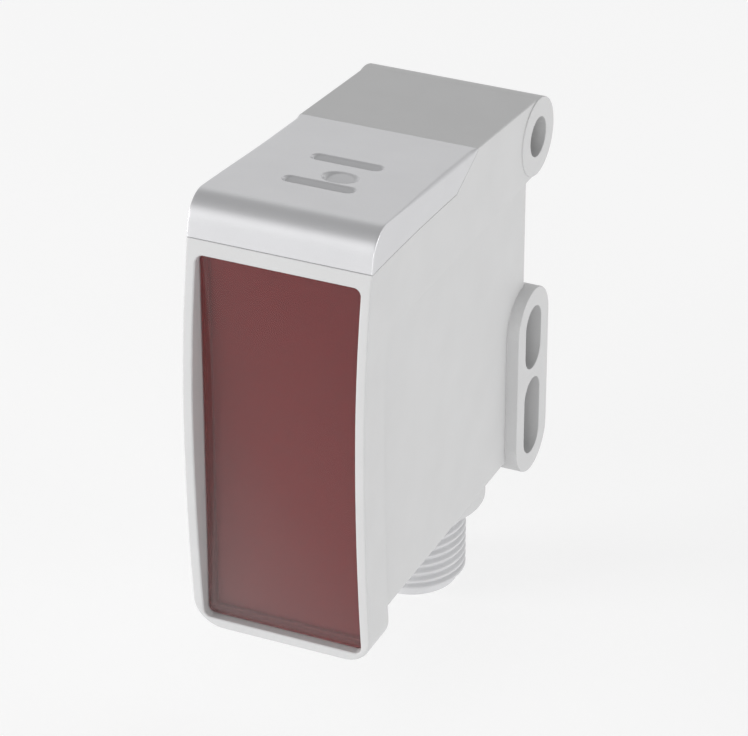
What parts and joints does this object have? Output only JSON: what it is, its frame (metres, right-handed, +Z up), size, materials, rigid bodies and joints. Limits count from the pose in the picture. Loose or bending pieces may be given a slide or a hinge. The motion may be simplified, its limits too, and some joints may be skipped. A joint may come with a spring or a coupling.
{
  "type": "photoelectric sensor",
  "caption": "Slim block-shaped photoelectric sensor with a tall red window, a satin operating cap, a rear mounting eye, a slotted mounting lug and a round threaded plug connector.",
  "frame": {"origin": "centre of the sensor's bounding box, in its middle plane", "axes": "+Z up towards the operating cap, -Y out of the window towards the target, +X to the sensor's right as seen from the front"},
  "size_m": [0.0204, 0.0486, 0.0592],
  "materials": {
    "housing_plastic": "finely textured light grey moulded plastic",
    "cap_plastic": "satin light grey, slightly translucent",
    "window_plastic": "polished dark red, transparent",
    "seal_rubber": "matt black",
    "black_plastic": "matt black",
    "lens_plastic": "polished clear",
    "circuit_board": "green solder mask",
    "chip_black": "moulded epoxy",
    "emitter_red": "red tinted epoxy",
    "key_plastic": "natural moulded plastic",
    "light_pipe_plastic": "clear, slightly hazy",
    "led_green": "green tinted epoxy",
    "led_yellow": "yellow tinted epoxy",
    "capacitor_metal": "drawn can",
    "flex_film": "amber film",
    "connector_plastic": "light grey moulded plastic",
    "pin_gold": "gold plated",
    "lead_insulation": "satin"
  },
  "bodies": {
    "sensor": {"housing": "housing_plastic", "operating_cap": "cap_plastic", "front_window": "window_plastic", "window_gasket": "seal_rubber", "cap_seal": "seal_rubber", "connector_seal_ring": "seal_rubber", "optics_carrier": "black_plastic", "key_guide": "black_plastic", "connector_insert": "black_plastic", "transmitter_lens": "lens_plastic", "receiver_lens": "lens_plastic", "optics_board": "circuit_board", "operating_board": "circuit_board", "main_board": "circuit_board", "receiver_photodiode": "chip_black", "teach_switch_body": "chip_black", "board_header": "chip_black", "control_chip": "chip_black", "voltage_regulator": "chip_black", "output_driver": "chip_black", "emitter_led": "emitter_red", "front_light_pipe": "light_pipe_plastic", "rear_light_pipe": "light_pipe_plastic", "front_status_led": "led_green", "rear_status_led": "led_yellow", "capacitor_1": "capacitor_metal", "capacitor_2": "capacitor_metal", "flex_link": "flex_film", "connector_shell": "connector_plastic", "contact_pin_1": "pin_gold", "contact_pin_2": "pin_gold", "contact_pin_3": "pin_gold", "contact_pin_4": "pin_gold", "connector_lead_1": "lead_insulation", "connector_lead_2": "lead_insulation", "connector_lead_3": "lead_insulation", "connector_lead_4": "lead_insulation"},
    "teach_key": {"teach_plunger": "key_plastic", "teach_switch_stem": "key_plastic"}
  },
  "joints": [
    {"name": "teach_press", "type": "slide", "parent": "sensor", "child": "teach_key", "axis": [0, 0, -1], "range_m": [0, 0.0003], "stiffness_N_per_m": 800, "springref_m": -0.001}
  ]
}
